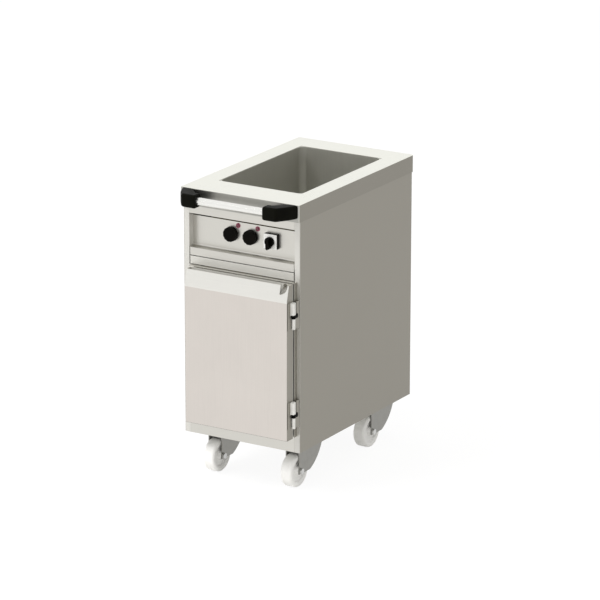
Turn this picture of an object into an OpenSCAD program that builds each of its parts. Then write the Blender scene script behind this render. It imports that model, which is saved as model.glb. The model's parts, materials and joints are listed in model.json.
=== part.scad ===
// Heated hostess trolley with a food well in the worktop, a control panel and a hinged cupboard door.
// Millimetres. The origin is the centre of the overall box on the floor, +Z is up and the door faces -Y.

/* [Worktop] */
// Width of the worktop, side to side
top_w = 440; // [436:1:500]
// Depth of the worktop, front to back
top_d = 724; // [716:1:800]
// Height of the apron round the worktop
apron_h = 57; // [50:1:80]
// How far the apron stands out past each body side
over_side = 4; // [3:0.5:5]
// How far the apron stands out past the body front
over_front = 12; // [8:1:16]
// How far the apron stands out past the body back
over_back = 6; // [4:1:16]

/* [Food well] */
// Clear width of the well
well_w = 308; // [296:1:316]
// Distance from the worktop's front edge to the well's clear opening
well_front = 122; // [112:1:150]
// Distance from the well's clear opening to the worktop's back edge
well_back = 94; // [80:1:150]
// Depth of the well below the worktop
well_h = 204; // [150:1:210]
// Inside corner radius of the drawn tank
well_corner = 25; // [12:1:40]
// Wall of the drawn tank
tank_t = 1.2; // [0.8:0.1:2]
// Height of the worktop's turned-down collar
collar_h = 14; // [10:1:20]
// Width of the tank's flange outside its clear opening
flange_w = 12; // [8:1:16]

/* [Body] */
// Height of the body from its lower edge to the apron's lower edge
body_h = 765; // [762:1:800]
// Sheet thickness of the panels
sheet = 1.5; // [1:0.1:2]
// Width of the two front posts
post_w = 20; // [16:1:22]
// Thickness of the floor plate that the casters bolt to
floor_t = 3; // [2:0.5:5]
// Thickness of the insulation boards
board_t = 14; // [8:1:18]

/* [Control panel] */
// Depth of the recess that the controls sit in
recess_d = 25; // [20:1:30]
// Clear height of the recess
recess_h = 112; // [100:1:114]
// Height of the rail above the recess
rail_h = 26.5; // [16:0.5:40]
// Height of each of the two bars below the recess
bar_h = 26; // [20:1:40]
// Height of the open slot between the panel's top edge and the rail
vent_h = 12; // [8:0.5:16]
// Shadow gap between the front bars, posts and door frame
shadow = 3; // [1:0.5:4]
// Diameter of the thermostat knobs
knob_d = 48.5; // [36:1:52]
// Length of the thermostat knobs
knob_l = 14; // [12:1:24]
// Distance between the two thermostat knobs
knob_pitch = 72.5; // [60:0.5:80]
// Side of the square rotary switch plate
switch_w = 48; // [40:1:56]
// Diameter of the rotary switch knob
dial_d = 32; // [26:1:36]
// Diameter of the pilot lamp lenses
lamp_d = 14; // [8:0.5:16]
// Diameter of the knob spindles
spindle_d = 6; // [5:0.5:8]

/* [Push handle] */
// Diameter of the handle tube
tube_d = 25; // [20:1:28]
// Distance from the apron to the middle of the tube
tube_out = 47; // [42:1:52]
// Distance from the worktop's surface down to the middle of the tube
tube_drop = 24.5; // [20:0.5:28]
// How far the corner bumpers reach forward of the apron
bumper_reach = 69; // [66:1:80]
// Height of the corner bumpers
bumper_h = 44.5; // [36:0.5:48]

/* [Door] */
// Height of the plinth below the door
plinth_h = 56; // [40:1:70]
// Depth of the frame that stands on the body front
frame_d = 18; // [14:1:28]
// Thickness of the seal between frame and door
seal_t = 8; // [6:1:10]
// Thickness of the door
door_t = 37; // [32:1:40]
// Distance from the body's left side to the frame
frame_left = 28; // [24:1:32]
// Distance from the body's left side to the door
door_left = 42; // [38:1:46]
// Distance from the body's right side to the door
door_right = 10; // [9:0.5:12]
// Height of the grip strip along the door's top
grip_h = 55; // [48:1:70]
// How far the grip lip leans back at its top edge
grip_lean = 11.5; // [6:0.5:12]
// Wall of the grip lip
lip_t = 2.5; // [2:0.5:4]
// Distance from the door's right edge to the end of the lip
grip_end = 30; // [28:1:40]

/* [Hinges] */
// Diameter of the hinge pins
pin_d = 8; // [6:0.5:8]
// Outer diameter of the frame-side knuckles
knuckle_d = 12; // [11:0.5:13]
// Height of the frame-side knuckles
knuckle_low = 35; // [25:1:40]
// Height of the black spacers between the knuckles
spacer_h = 13; // [6:1:16]
// Height of the door-side knuckles
knuckle_up = 40; // [30:1:45]
// Height of the lower hinge above the door's lower edge
hinge_low = 37.5; // [30:0.5:60]
// Distance from the top of the upper hinge to the door's top
hinge_high = 57; // [56:1:80]

/* [Cupboard] */
// Distance from the door's edge in to the cupboard's clear opening
cup_rim = 20.5; // [19:0.5:30]
// Distance from the cupboard's back wall to the body's back
cup_back = 89; // [40:1:150]
// Number of tray runners on each side
runners = 5; // [3:1:6]
// Width of each runner's ledge
ledge_w = 12; // [9:0.5:14]

/* [Casters] */
// Height of the body's lower edge above the floor
caster_h = 145; // [144:1:160]
// Wheel diameter
wheel_d = 108; // [90:1:112]
// Wheel width
wheel_w = 42; // [32:1:46]
// Distance from the swivel axis forward to the axle
trail = 60; // [50:1:66]
// Distance from the body sides to the swivel axes
caster_side = 69.5; // [60:0.5:90]
// Distance from the body front to the front swivel axes
caster_front = 139; // [130:1:160]
// Distance from the body back to the rear swivel axes
caster_back = 107; // [60:1:140]
// Axle diameter
axle_d = 12; // [10:1:14]
// Thickness of the fork legs
leg_t = 3.5; // [3:0.5:5]

/* [Hidden] */
$fn = 64;
CASTERS = ["front_left", "front_right", "rear_left", "rear_right"];

STEEL = [0.80, 0.79, 0.76];
STEEL_DARK = [0.56, 0.55, 0.52];
BLACK = [0.06, 0.06, 0.06];
WHITE = [0.93, 0.93, 0.92];
RED = [0.55, 0.05, 0.08];
WOOL = [0.78, 0.72, 0.50];

// How far a cut runs past the face that it opens
past = 1;

// Radial play of a pin or spindle in its bore
fit = 0.05;

// Planes of the worktop
apron_yf = (bumper_reach - top_d) / 2;
apron_yb = apron_yf + top_d;
top_xr = top_w / 2;
top_z = caster_h + body_h + apron_h;
apron_z = caster_h + body_h;
under_z = top_z - sheet;

// Planes of the body
body_xr = top_xr - over_side;
body_xl = -body_xr;
body_yf = apron_yf + over_front;
body_yb = apron_yb - over_back;
body_z = caster_h;

// Planes of the well and its tank
well_yf = apron_yf + well_front;
well_yb = apron_yb - well_back;
well_d = well_yb - well_yf;
tank_z = top_z - well_h;
flange_z = under_z - collar_h;
tank_corner = well_corner + tank_t;
heater_r = 4.25;
heater_bend = 35;
heater_turns = 3;
wool_play = 2;
wool_z0 = tank_z - tank_t - 2 * heater_r - board_t;

// Stack of the front, from the apron down to the plinth
recess_z1 = apron_z - shadow - rail_h;
recess_z0 = recess_z1 - recess_h;
high_bar_z = recess_z0 - bar_h;
low_bar_z = high_bar_z - shadow - bar_h;
door_z1 = low_bar_z - shadow / 2;
door_z0 = body_z + plinth_h;
post_in = body_xr - post_w;
post_d = recess_d;
panel_y = body_yf + recess_d;
panel_lap = 10;

// Places of the controls on the panel
control_up = 57.5;
control_z = recess_z0 + control_up;
switch_in = 97;
switch_x = post_in - switch_in;
knob_gap = 115.5;
knob_x = switch_x - knob_gap;
lamp_up = 30.5;
lamp_z = control_z + lamp_up;
lamp_shift = 25;
lamp_rim = 1.2;
lamp_wall = 1.4;
lamp_tail = 20;
lamp_dome = 1.6;
lamp_hole_r = lamp_d / 2;
lens_r = lamp_hole_r - lamp_wall - fit;
spindle_r = spindle_d / 2;
spindle_room = 2;
spindle_hole_r = spindle_r + spindle_room;
spindle_play = 0.3;
bore_share = 0.6;
thermostat_w = 44;
thermostat_d = 38;
knob_r = knob_d / 2;
knob_step = 0.5;
knob_skirt = 4;
knob_lobes = 12;
lobe_r = 4;
lobe_out = 2.6;
switch_base_d = 13;
switch_plate_t = 1.5;
switch_lap = 3;
switch_body_w = switch_w - 2 * switch_lap;
switch_body_d = 44;
switch_plate_y = panel_y - switch_base_d - switch_plate_t;
dial_t = 8;
dial_grip_w = 11;
dial_tail = 7;
dial_grip_l = dial_d / 2 + dial_tail;
dial_grip_d = 12;

// Planes of the door, its seal and its frame
frame_yf = body_yf - frame_d;
seal_yf = frame_yf - seal_t;
door_yf = seal_yf - door_t;
door_xl = body_xl + door_left;
door_xr = body_xr - door_right;
frame_xl = body_xl + frame_left;
frame_inset = 1;
frame_xr = door_xr - frame_inset;
grip_z = door_z1 - grip_h;
skin_t = 1.2;
inner_t = 2;
trough_yb = door_t - inner_t - lip_t;
trough_floor = 6;
trough_r = 6;
scoop_wall = 3;
scoop_r = grip_end - scoop_wall;
scoop_out = 1;
scoop_drop = 3;
scoop_y = door_yf + scoop_out;
scoop_z = door_z1 - scoop_drop;

// Cupboard
cup_xr = -door_xl - cup_rim;
cup_yb = body_yb - cup_back;
cup_z0 = door_z0 + cup_rim;
cup_z1 = door_z1 - cup_rim;
seal_margin = 5;
seal_w = 13;
liner_t = 1.2;
liner_xr = cup_xr + liner_t;
runner_h = 15;
runner_gap = 12;
runner_low = 45;
runner_head = 15;
runner_step = (cup_z1 - cup_z0 - runner_low - runner_head) / runners;
runner_front = 30;
runner_yf = body_yf + runner_front;
cup_heater_bend = 30;
cup_heater_turns = 3;
cup_heater_run = 300;
cup_heater_back = 60;
cup_heater_z = cup_z0 + heater_r;
cup_heater_y = cup_yb - cup_heater_run - cup_heater_back;
cover_h = 22;
cover_room = 10;
cover_xr = cup_heater_turns * cup_heater_bend + heater_r + cover_room;
cover_yf = cup_heater_y - cup_heater_bend - heater_r - cover_room;
cover_slots = 6;
cover_slot_w = 6;
cover_pitch = 24;

// Hinge axis and stack
hinge_out = 7;
hinge_fore = 8.5;
hinge_x = door_xr + hinge_out;
hinge_y = seal_yf - hinge_fore;
knuckle_r = knuckle_d / 2;
pin_r = pin_d / 2;
hinge_l = knuckle_low + spacer_h + knuckle_up;
hinge_zs = [door_z0 + hinge_low, door_z1 - hinge_high - hinge_l];
pin_short = 8;
spacer_back = 22;
spacer_in = 6;
spacer_out = 3.4;
pin_l = hinge_l - pin_short;
leaf_t = 3;
leaf_y = door_yf + leaf_t - hinge_y;
block_out = 11;
arm_gap = 0.5;
arm_x = door_xr + arm_gap - hinge_x;
arm_t = 9;
arm_seat = 16;
arm_seat_y = frame_yf - hinge_y;

// Handle
tube_y = apron_yf - tube_out;
tube_z = top_z - tube_drop;
tube_r = tube_d / 2;
bumper_drop = 1.5;
bumper_z = top_z - bumper_drop - bumper_h;
bumper_grip = 20;
bumper_in = 95;
tube_wrap = 2.5;
tube_seat = tube_out - tube_r - tube_wrap;
tube_x = top_xr - bumper_in + bumper_grip;

// Plan of a bumper from its inner front corner round to its inner back corner:
// distance in from the worktop's side and distance out from its apron
bumper_marks = [
  [bumper_in, bumper_reach], [46, bumper_reach], [24, 38], [16, 24], [6, 0],
  [48, 0], [60, 13], [80, tube_seat], [bumper_in, tube_seat],
];

// Screws that hold the bumpers to the apron
screw_in = 26;
screw_r = 3;
screw_head_r = 6;
screw_head_t = 3;
screw_l = 16;

// Casters, measured down from the body's lower edge
plate_t = 5;
race_r = 33;
race_h = 8;
race_gap = 0.5;
crown_t = 4;
race_step = 2;
king_r = 6;
king_tail = 2;
king_head_t = 5;
king_head_r = 10;
plate_x = 105;
plate_y = 85;
bolt_dx = 80;
bolt_dy = 60;
bolt_r = 4;
bolt_head_r = 7;
bolt_head_t = 5;
wheel_r = wheel_d / 2;
axle_r = axle_d / 2;
leg_gap = 1.3;
leg_in = wheel_w / 2 + leg_gap;
leg_out = leg_in + leg_t;
crown_z = body_z - plate_t - race_h - race_gap - race_h;
leg_nose = 10;
leg_arc_r = 142;
leg_arc_y = 1;
leg_arc_z = 120.5;
hex_r = 10.4;
hex_t = 7;
tread_t = 18;
tread_r = 8;
web_w = 24;
hub_r = 15;
hub_end = leg_in - leg_gap / 4;

// Supply inlet on the back
gland_x = -130;
gland_up = 40;
gland_z = body_z + gland_up;
gland_r = 8;
gland_l = 16;
gland_rim = 2;
gland_nut = 4;
gland_out = over_back - 1;

function caster_x(name) =
  (name == "front_left" || name == "rear_left") ? body_xl + caster_side : body_xr - caster_side;
function caster_y(name) =
  (name == "rear_left" || name == "rear_right") ? body_yb - caster_back : body_yf + caster_front;

// Box between two opposite corners
module span(lo, hi) {
  translate(lo) cube([hi[0] - lo[0], hi[1] - lo[1], hi[2] - lo[2]]);
}

// Folded sheet channel between two corners, open at the back
module channel(lo, hi) {
  difference() {
    span(lo, hi);
    span([lo[0] + sheet, lo[1] + sheet, lo[2] + sheet], [hi[0] - sheet, hi[1] + past, hi[2] - sheet]);
  }
}

// Flat rectangle with round corners, centred
module round_rect(w, d, r) {
  square([w - 2 * r, d], center = true);
  square([w, d - 2 * r], center = true);
  for (sx = [-1, 1], sy = [-1, 1])
    translate([sx * (w / 2 - r), sy * (d / 2 - r)]) circle(r);
}

// Cylinder of radius r and length l that starts at p and runs along +Y
module rod_y(p, r, l) {
  translate(p) rotate([-90, 0, 0]) cylinder(r = r, h = l);
}

// Cylinder of radius r and length l that starts at p and runs along +X
module rod_x(p, r, l) {
  translate(p) rotate([0, 90, 0]) cylinder(r = r, h = l);
}

// ---- Worktop and well ----

// Upright block of the well's clear plan, between two heights
module well_block(grow, z0, z1) {
  span([-well_w / 2 - grow, well_yf - grow, z0], [well_w / 2 + grow, well_yb + grow, z1]);
}

// Same plan with the tank's round corners
module tank_block(grow, r, z0, z1) {
  translate([0, (well_yf + well_yb) / 2, z0])
    linear_extrude(height = z1 - z0) round_rect(well_w + 2 * grow, well_d + 2 * grow, r);
}

// Places of the two screws behind each bumper
module at_bumper_screws() {
  for (side = [-1, 1], dz = [-1, 1])
    translate([side * (top_xr - screw_in), apron_yf, bumper_z + (2 + dz) * bumper_h / 4]) children();
}

module worktop() color(STEEL) {
  difference() {
    union() {
      difference() {
        span([-top_xr, apron_yf, apron_z], [top_xr, apron_yb, top_z]);
        span([-top_xr + sheet, apron_yf + sheet, apron_z - past],
             [top_xr - sheet, apron_yb - sheet, under_z]);
      }
      well_block(sheet, flange_z, top_z - sheet / 2);
    }
    well_block(0, flange_z - past, top_z + past);
    at_bumper_screws() rod_y([0, -past, 0], screw_r + fit, sheet + 2 * past);
  }
}

module well_tank() color(STEEL_DARK) difference() {
  union() {
    tank_block(tank_t, tank_corner, tank_z - tank_t, flange_z);
    tank_block(flange_w, tank_corner, flange_z - tank_t, flange_z);
  }
  tank_block(0, well_corner, tank_z, flange_z + past);
}

// Tubular element: straight runs along Y joined by half rings, at radius bend
module heater_tube(run, bend, r, turns) {
  for (i = [0 : turns])
    rod_y([i * 2 * bend, 0, 0], r, run);
  for (i = [0 : turns - 1])
    translate([(2 * i + 1) * bend, i % 2 == 0 ? run : 0, 0])
      rotate([0, 0, i % 2 == 0 ? 0 : 180])
        rotate_extrude(angle = 180) translate([bend, 0]) circle(r);
}

module well_heater() color(STEEL_DARK)
  translate([-heater_turns * heater_bend, well_yf + flange_w + heater_bend, tank_z - tank_t - heater_r])
    heater_tube(well_d - 2 * flange_w - 2 * heater_bend, heater_bend, heater_r, heater_turns);

module well_insulation() color(WOOL) difference() {
  well_block(wool_play + board_t, wool_z0, flange_z - tank_t);
  well_block(wool_play, wool_z0 + board_t, flange_z);
}

// ---- Body ----

module side_panel(side) color(STEEL)
  mirror([side < 0 ? 1 : 0, 0, 0])
    span([body_xr - sheet, body_yf, body_z], [body_xr, body_yb, under_z]);

module side_panel_left() side_panel(-1);

module side_panel_right() side_panel(1);

module rear_panel() color(STEEL) difference() {
  span([body_xl + sheet, body_yb - sheet, body_z], [body_xr - sheet, body_yb, under_z]);
  rod_y([gland_x, body_yb - sheet - past, gland_z], gland_r, sheet + 2 * past);
}

// Four bolts of each caster, through the floor plate
module at_caster_bolts() {
  for (name = CASTERS, sx = [-1, 1], sy = [-1, 1])
    translate([caster_x(name) + sx * bolt_dx / 2, caster_y(name) + sy * bolt_dy / 2, 0]) children();
}

module floor_plate() color(STEEL_DARK) difference() {
  span([body_xl + sheet, body_yf + post_d, body_z], [body_xr - sheet, body_yb - sheet, body_z + floor_t]);
  at_caster_bolts() translate([0, 0, body_z - past]) cylinder(r = bolt_r + fit, h = floor_t + 2 * past);
}

module front_post(side) color(STEEL)
  mirror([side < 0 ? 1 : 0, 0, 0])
    channel([post_in, body_yf, body_z], [body_xr - sheet, body_yf + post_d, under_z]);

module front_post_left() front_post(-1);

module front_post_right() front_post(1);

module top_rail() color(STEEL)
  channel([-post_in, body_yf, recess_z1], [post_in, body_yf + post_d, apron_z - shadow]);

module crossbar() color(STEEL)
  channel([-post_in + shadow, body_yf, low_bar_z], [post_in - shadow, body_yf + post_d, low_bar_z + bar_h]);

module plinth() color(STEEL)
  channel([-post_in, body_yf, body_z], [post_in, body_yf + post_d, door_z0]);

module door_jamb(side) color(STEEL)
  mirror([side < 0 ? 1 : 0, 0, 0])
    channel([liner_xr, body_yf, door_z0], [post_in, body_yf + post_d, door_z1]);

module door_jamb_left() door_jamb(-1);

module door_jamb_right() door_jamb(1);

// ---- Control panel ----

// Places of the two thermostats
module at_knobs() {
  for (i = [0, 1])
    translate([knob_x + (i - 0.5) * knob_pitch, panel_y, control_z]) children();
}

// Places of the two pilot lamps
module at_lamps() {
  for (i = [0, 1])
    translate([knob_x + (i - 0.5) * knob_pitch + lamp_shift, panel_y, lamp_z]) children();
}

module control_panel() color(STEEL) difference() {
  union() {
    span([-post_in - panel_lap, panel_y, low_bar_z],
         [post_in + panel_lap, panel_y + sheet, recess_z1 - vent_h]);
    span([-post_in, body_yf, recess_z0 - sheet], [post_in, panel_y, recess_z0]);
    span([-post_in + shadow, body_yf, high_bar_z], [post_in - shadow, body_yf + sheet, recess_z0]);
  }
  at_knobs() rod_y([0, -past, 0], spindle_hole_r, sheet + 2 * past);
  at_lamps() rod_y([0, -past, 0], lamp_hole_r, sheet + 2 * past);
  translate([switch_x, panel_y, control_z]) rod_y([0, -past, 0], spindle_hole_r, sheet + 2 * past);
}

module thermostats() color(STEEL_DARK) at_knobs() difference() {
  translate([-thermostat_w / 2, sheet, -thermostat_w / 2]) cube([thermostat_w, thermostat_d, thermostat_w]);
  rod_y([0, sheet - past, 0], spindle_r + fit, thermostat_d * bore_share);
}

module rotary_switch_body() color(BLACK) translate([switch_x, panel_y, control_z]) difference() {
  union() {
    translate([-switch_w / 2, -switch_base_d, -switch_w / 2]) cube([switch_w, switch_base_d, switch_w]);
    translate([-switch_body_w / 2, sheet, -switch_body_w / 2])
      cube([switch_body_w, switch_body_d, switch_body_w]);
    rod_y([0, -past, 0], spindle_hole_r, sheet + 2 * past);
  }
  rod_y([0, -switch_base_d - past, 0], spindle_r + fit, switch_base_d + sheet + switch_body_d * bore_share);
}

module switch_faceplate() color(WHITE) difference() {
  translate([switch_x - switch_w / 2, switch_plate_y, control_z - switch_w / 2])
    cube([switch_w, switch_plate_t, switch_w]);
  rod_y([switch_x, switch_plate_y - past, control_z], spindle_r + spindle_play, switch_plate_t + 2 * past);
}

module pilot_lamp_holders() color(RED) at_lamps() difference() {
  union() {
    rod_y([0, -lamp_rim, 0], lamp_hole_r + lamp_rim, lamp_rim);
    rod_y([0, -lamp_rim, 0], lamp_hole_r, lamp_rim + sheet + lamp_tail);
  }
  rod_y([0, -lamp_rim - past, 0], lamp_hole_r - lamp_wall, lamp_rim + past + sheet);
}

module pilot_lamp_lenses() color(RED) at_lamps() {
  rod_y([0, -lamp_rim, 0], lens_r, lamp_rim + sheet);
  translate([0, -lamp_rim, 0]) rotate([90, 0, 0]) rotate_extrude() intersection() {
    translate([0, -lamp_hole_r]) circle(lamp_hole_r * lamp_dome);
    square([lens_r, lamp_hole_r]);
  }
}

// ---- Cupboard ----

module cupboard_liner() color(STEEL_DARK) difference() {
  span([-liner_xr, body_yf, cup_z0 - liner_t], [liner_xr, cup_yb + liner_t, cup_z1 + liner_t]);
  span([-cup_xr, body_yf - past, cup_z0], [cup_xr, cup_yb, cup_z1]);
}

module tray_runners(side) color(STEEL)
  mirror([side < 0 ? 1 : 0, 0, 0])
    for (i = [0 : runners - 1])
      translate([0, 0, cup_z0 + runner_low + i * runner_step]) {
        span([cup_xr - sheet, runner_yf, 0], [cup_xr, cup_yb - runner_gap, runner_h]);
        span([cup_xr - ledge_w, runner_yf, 0], [cup_xr - sheet, cup_yb - runner_gap, sheet]);
      }

module tray_runners_left() tray_runners(-1);

module tray_runners_right() tray_runners(1);

module cupboard_heater() color(STEEL_DARK)
  translate([-cup_heater_turns * cup_heater_bend, cup_heater_y, cup_heater_z])
    heater_tube(cup_heater_run, cup_heater_bend, heater_r, cup_heater_turns);

module heater_cover() color(STEEL) difference() {
  span([-cover_xr, cover_yf, cup_z0], [cover_xr, cup_yb, cup_z0 + cover_h]);
  span([-cover_xr + sheet, cover_yf + sheet, cup_z0 - past],
       [cover_xr - sheet, cup_yb + past, cup_z0 + cover_h - sheet]);
  for (i = [0 : cover_slots - 1])
    translate([(i - (cover_slots - 1) / 2) * cover_pitch - cover_slot_w / 2, cup_heater_y, cup_z0 + sheet])
      cube([cover_slot_w, cup_heater_run, cover_h]);
}

// Boards on both sides, behind and above the liner
module cupboard_insulation() color(WOOL) {
  for (side = [0, 1]) mirror([side, 0, 0])
    span([liner_xr, body_yf + post_d, cup_z0], [liner_xr + board_t, cup_yb, cup_z1]);
  span([-liner_xr, cup_yb + liner_t, cup_z0], [liner_xr, cup_yb + liner_t + board_t, cup_z1]);
  span([-liner_xr, body_yf + post_d, cup_z1 + liner_t], [liner_xr, cup_yb, cup_z1 + liner_t + board_t]);
  span([-liner_xr, body_yf + post_d, cup_z0 - liner_t - board_t], [liner_xr, cup_yb, cup_z0 - liner_t]);
}

// ---- Push handle ----

module handle_tube() color(STEEL) difference() {
  rod_x([-tube_x, tube_y, tube_z], tube_r, 2 * tube_x);
  rod_x([-tube_x - past, tube_y, tube_z], tube_r - sheet, 2 * tube_x + 2 * past);
}

// Flat plan of the right bumper
module bumper_outline() {
  polygon([for (mark = bumper_marks) [top_xr - mark[0], apron_yf - mark[1]]]);
}

module corner_bumper(side) color(BLACK) difference() {
  mirror([side < 0 ? 1 : 0, 0, 0])
    translate([0, 0, bumper_z]) linear_extrude(height = bumper_h) bumper_outline();
  rod_x([-tube_x, tube_y, tube_z], tube_r + fit, 2 * tube_x);
  at_bumper_screws() rod_y([0, sheet - screw_l, 0], screw_r, screw_l);
}

module corner_bumper_left() corner_bumper(-1);

module corner_bumper_right() corner_bumper(1);

module bumper_screws() color(STEEL_DARK) at_bumper_screws() {
  rod_y([0, sheet - screw_l, 0], screw_r, screw_l);
  rod_y([0, sheet, 0], screw_head_r, screw_head_t);
}

// ---- Door frame and hinges ----

// Block through the frame's opening, grown by a margin
module frame_hole(grow) {
  span([-cup_xr - grow, frame_yf - past, cup_z0 - grow], [cup_xr + grow, body_yf + 2 * past, cup_z1 + grow]);
}

module door_frame() color(STEEL) difference() {
  union() {
    channel([frame_xl, frame_yf, door_z0], [frame_xr, body_yf, door_z1]);
    intersection() {
      frame_hole(sheet);
      span([frame_xl, frame_yf, door_z0], [frame_xr, body_yf, door_z1]);
    }
  }
  frame_hole(0);
}

// Repeats its children at the foot of each hinge
module at_hinges() {
  for (z = hinge_zs)
    translate([hinge_x, hinge_y, z]) children();
}

module frame_hinge_knuckles() color(WHITE) at_hinges() difference() {
  union() {
    cylinder(r = knuckle_r, h = knuckle_low);
    translate([arm_x, 0, 0]) cube([arm_t, arm_seat_y + arm_seat, knuckle_low]);
    difference() {
      translate([frame_xr - hinge_x, arm_seat_y, 0]) cube([arm_t, arm_seat, hinge_l]);
      translate([frame_xr - hinge_x - past, 0, knuckle_low])
        cube([arm_t + 2 * past, spacer_back + fit, spacer_h]);
    }
  }
  translate([0, 0, -past]) cylinder(r = pin_r + fit, h = knuckle_low + 2 * past);
}

module hinge_spacers() color(BLACK) at_hinges() translate([0, 0, knuckle_low]) difference() {
  union() {
    cylinder(r = hinge_out - spindle_play, h = spacer_h);
    translate([-spacer_in, 0, 0]) cube([spacer_in + spacer_out, spacer_back, spacer_h]);
  }
  translate([0, 0, -past]) cylinder(r = pin_r + fit, h = spacer_h + 2 * past);
}

module hinge_pins() color(STEEL_DARK) at_hinges() cylinder(r = pin_r, h = pin_l);

module door_hinge_knuckles() color(WHITE) at_hinges() {
  difference() {
    union() {
      translate([0, 0, knuckle_low + spacer_h]) cylinder(r = hinge_out, h = knuckle_up);
      translate([-hinge_out, -block_out, knuckle_low + spacer_h])
        cube([2 * hinge_out, block_out, knuckle_up]);
      translate([-hinge_out, leaf_y, 0]) cube([leaf_t, door_t / 2, hinge_l]);
      translate([-hinge_out, leaf_y, knuckle_low + spacer_h]) cube([leaf_t, -leaf_y, knuckle_up]);
    }
    translate([0, 0, knuckle_low + spacer_h - past])
      cylinder(r = pin_r + fit, h = pin_l - knuckle_low - spacer_h + past + spindle_play);
  }
}

// ---- Door ----

module door_skin() color(STEEL) difference() {
  span([door_xl, door_yf, door_z0], [door_xr, seal_yf - inner_t, grip_z]);
  span([door_xl + skin_t, door_yf + skin_t, door_z0 + skin_t], [door_xr - skin_t, seal_yf, grip_z + past]);
}

// Outline of the grip strip, seen from the right, with the lip leaning back and a trough behind it
module grip_body_outline() {
  polygon([
    [0, 0], [door_t - inner_t, 0], [door_t - inner_t, grip_h], [grip_lean, grip_h], [0, trough_floor],
  ]);
}

module grip_trough_outline() {
  polygon([
    [lip_t, trough_floor + trough_r], [lip_t + trough_r, trough_floor], [trough_yb, trough_floor],
    [trough_yb, grip_h + past], [grip_lean + lip_t, grip_h + past],
  ]);
  translate([lip_t + trough_r, trough_floor + trough_r]) circle(trough_r);
}

// Stands an outline drawn as (depth, height) on the door's front plane and runs it along X
module along_door(x0, x1) {
  translate([x0, door_yf, grip_z]) rotate([90, 0, 90]) linear_extrude(height = x1 - x0) children();
}

module door_grip() color(STEEL) difference() {
  along_door(door_xl, door_xr) grip_body_outline();
  along_door(door_xl + lip_t, door_xr - grip_end) grip_trough_outline();
  intersection() {
    translate([door_xr - grip_end, scoop_y, scoop_z]) sphere(scoop_r);
    span([door_xr - grip_end - fit, door_yf - past, grip_z], [door_xr, seal_yf, door_z1 + past]);
  }
}

module door_inner_panel() color(STEEL_DARK)
  span([door_xl, seal_yf - inner_t, door_z0], [door_xr, seal_yf, door_z1]);

module door_insulation() color(WOOL)
  span([door_xl + skin_t, door_yf + skin_t, door_z0 + skin_t],
       [door_xr - skin_t, seal_yf - inner_t, grip_z]);

module door_seal() color(BLACK) difference() {
  span([door_xl + seal_margin, seal_yf, door_z0 + seal_margin],
       [door_xr - seal_margin, frame_yf, door_z1 - seal_margin]);
  span([door_xl + seal_margin + seal_w, seal_yf - past, door_z0 + seal_margin + seal_w],
       [door_xr - seal_margin - seal_w, frame_yf + past, door_z1 - seal_margin - seal_w]);
}

// ---- Knobs ----

// Fluted outline of a thermostat knob's grip
module knob_outline() {
  difference() {
    circle(knob_r - knob_step);
    for (k = [0 : knob_lobes - 1])
      rotate(k * 360 / knob_lobes) translate([knob_r + lobe_out, 0]) circle(lobe_r);
  }
}

module thermostat_knob(i) color(BLACK)
  translate([knob_x + (i - 0.5) * knob_pitch, panel_y - spindle_play, control_z]) {
    rod_y([0, -knob_skirt, 0], knob_r, knob_skirt);
    translate([0, -knob_skirt / 2, 0]) rotate([90, 0, 0])
      linear_extrude(height = knob_l - knob_skirt / 2) knob_outline();
    rod_y([0, -knob_l / 2, 0], spindle_r, knob_l / 2 + spindle_play + sheet + thermostat_d / 2);
  }

module knob_well() thermostat_knob(0);

module knob_cupboard() thermostat_knob(1);

module switch_knob() color(BLACK) translate([switch_x, switch_plate_y - spindle_play, control_z]) {
  rod_y([0, -dial_t, 0], dial_d / 2, dial_t);
  translate([-dial_grip_w / 2, -dial_t - dial_grip_d, -dial_grip_l + dial_grip_w / 2])
    cube([dial_grip_w, dial_t + dial_grip_d, dial_grip_l + dial_d / 2 - dial_grip_w]);
  rod_y([0, -dial_t - dial_grip_d, -dial_grip_l + dial_grip_w / 2], dial_grip_w / 2, dial_t + dial_grip_d);
  rod_y([0, -dial_t - dial_grip_d, dial_d / 2 - dial_grip_w / 2], dial_grip_w / 2, dial_t + dial_grip_d);
  rod_y([0, -past, 0], spindle_r, past + spindle_play + switch_plate_t + switch_base_d + switch_body_d / 2);
}

// ---- Supply inlet ----

module cable_gland() color(BLACK) difference() {
  union() {
    rod_y([gland_x, body_yb - sheet, gland_z], gland_r, sheet);
    rod_y([gland_x, body_yb, gland_z], gland_r + gland_rim, gland_out);
    rod_y([gland_x, body_yb - sheet - gland_l, gland_z], gland_r + gland_nut, gland_l);
  }
  rod_y([gland_x, body_yb - sheet - gland_l - past, gland_z], gland_r / 2,
        gland_l + sheet + gland_out + 2 * past);
}

// ---- Casters ----

module caster_plates() color(STEEL_DARK)
  for (name = CASTERS) translate([caster_x(name), caster_y(name), body_z]) {
    difference() {
      translate([-plate_x / 2, -plate_y / 2, -plate_t]) cube([plate_x, plate_y, plate_t]);
      for (sx = [-1, 1], sy = [-1, 1])
        translate([sx * bolt_dx / 2, sy * bolt_dy / 2, -plate_t - past])
          cylinder(r = bolt_r + fit, h = plate_t + 2 * past);
    }
    translate([0, 0, -plate_t - race_h]) cylinder(r = race_r, h = race_h);
    translate([0, 0, crown_z - crown_t - body_z - king_tail])
      cylinder(r = king_r, h = body_z - crown_z + crown_t + king_tail - plate_t);
    translate([0, 0, crown_z - crown_t - body_z - king_head_t])
      cylinder(r = king_head_r, h = king_head_t - race_gap);
  }

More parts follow.
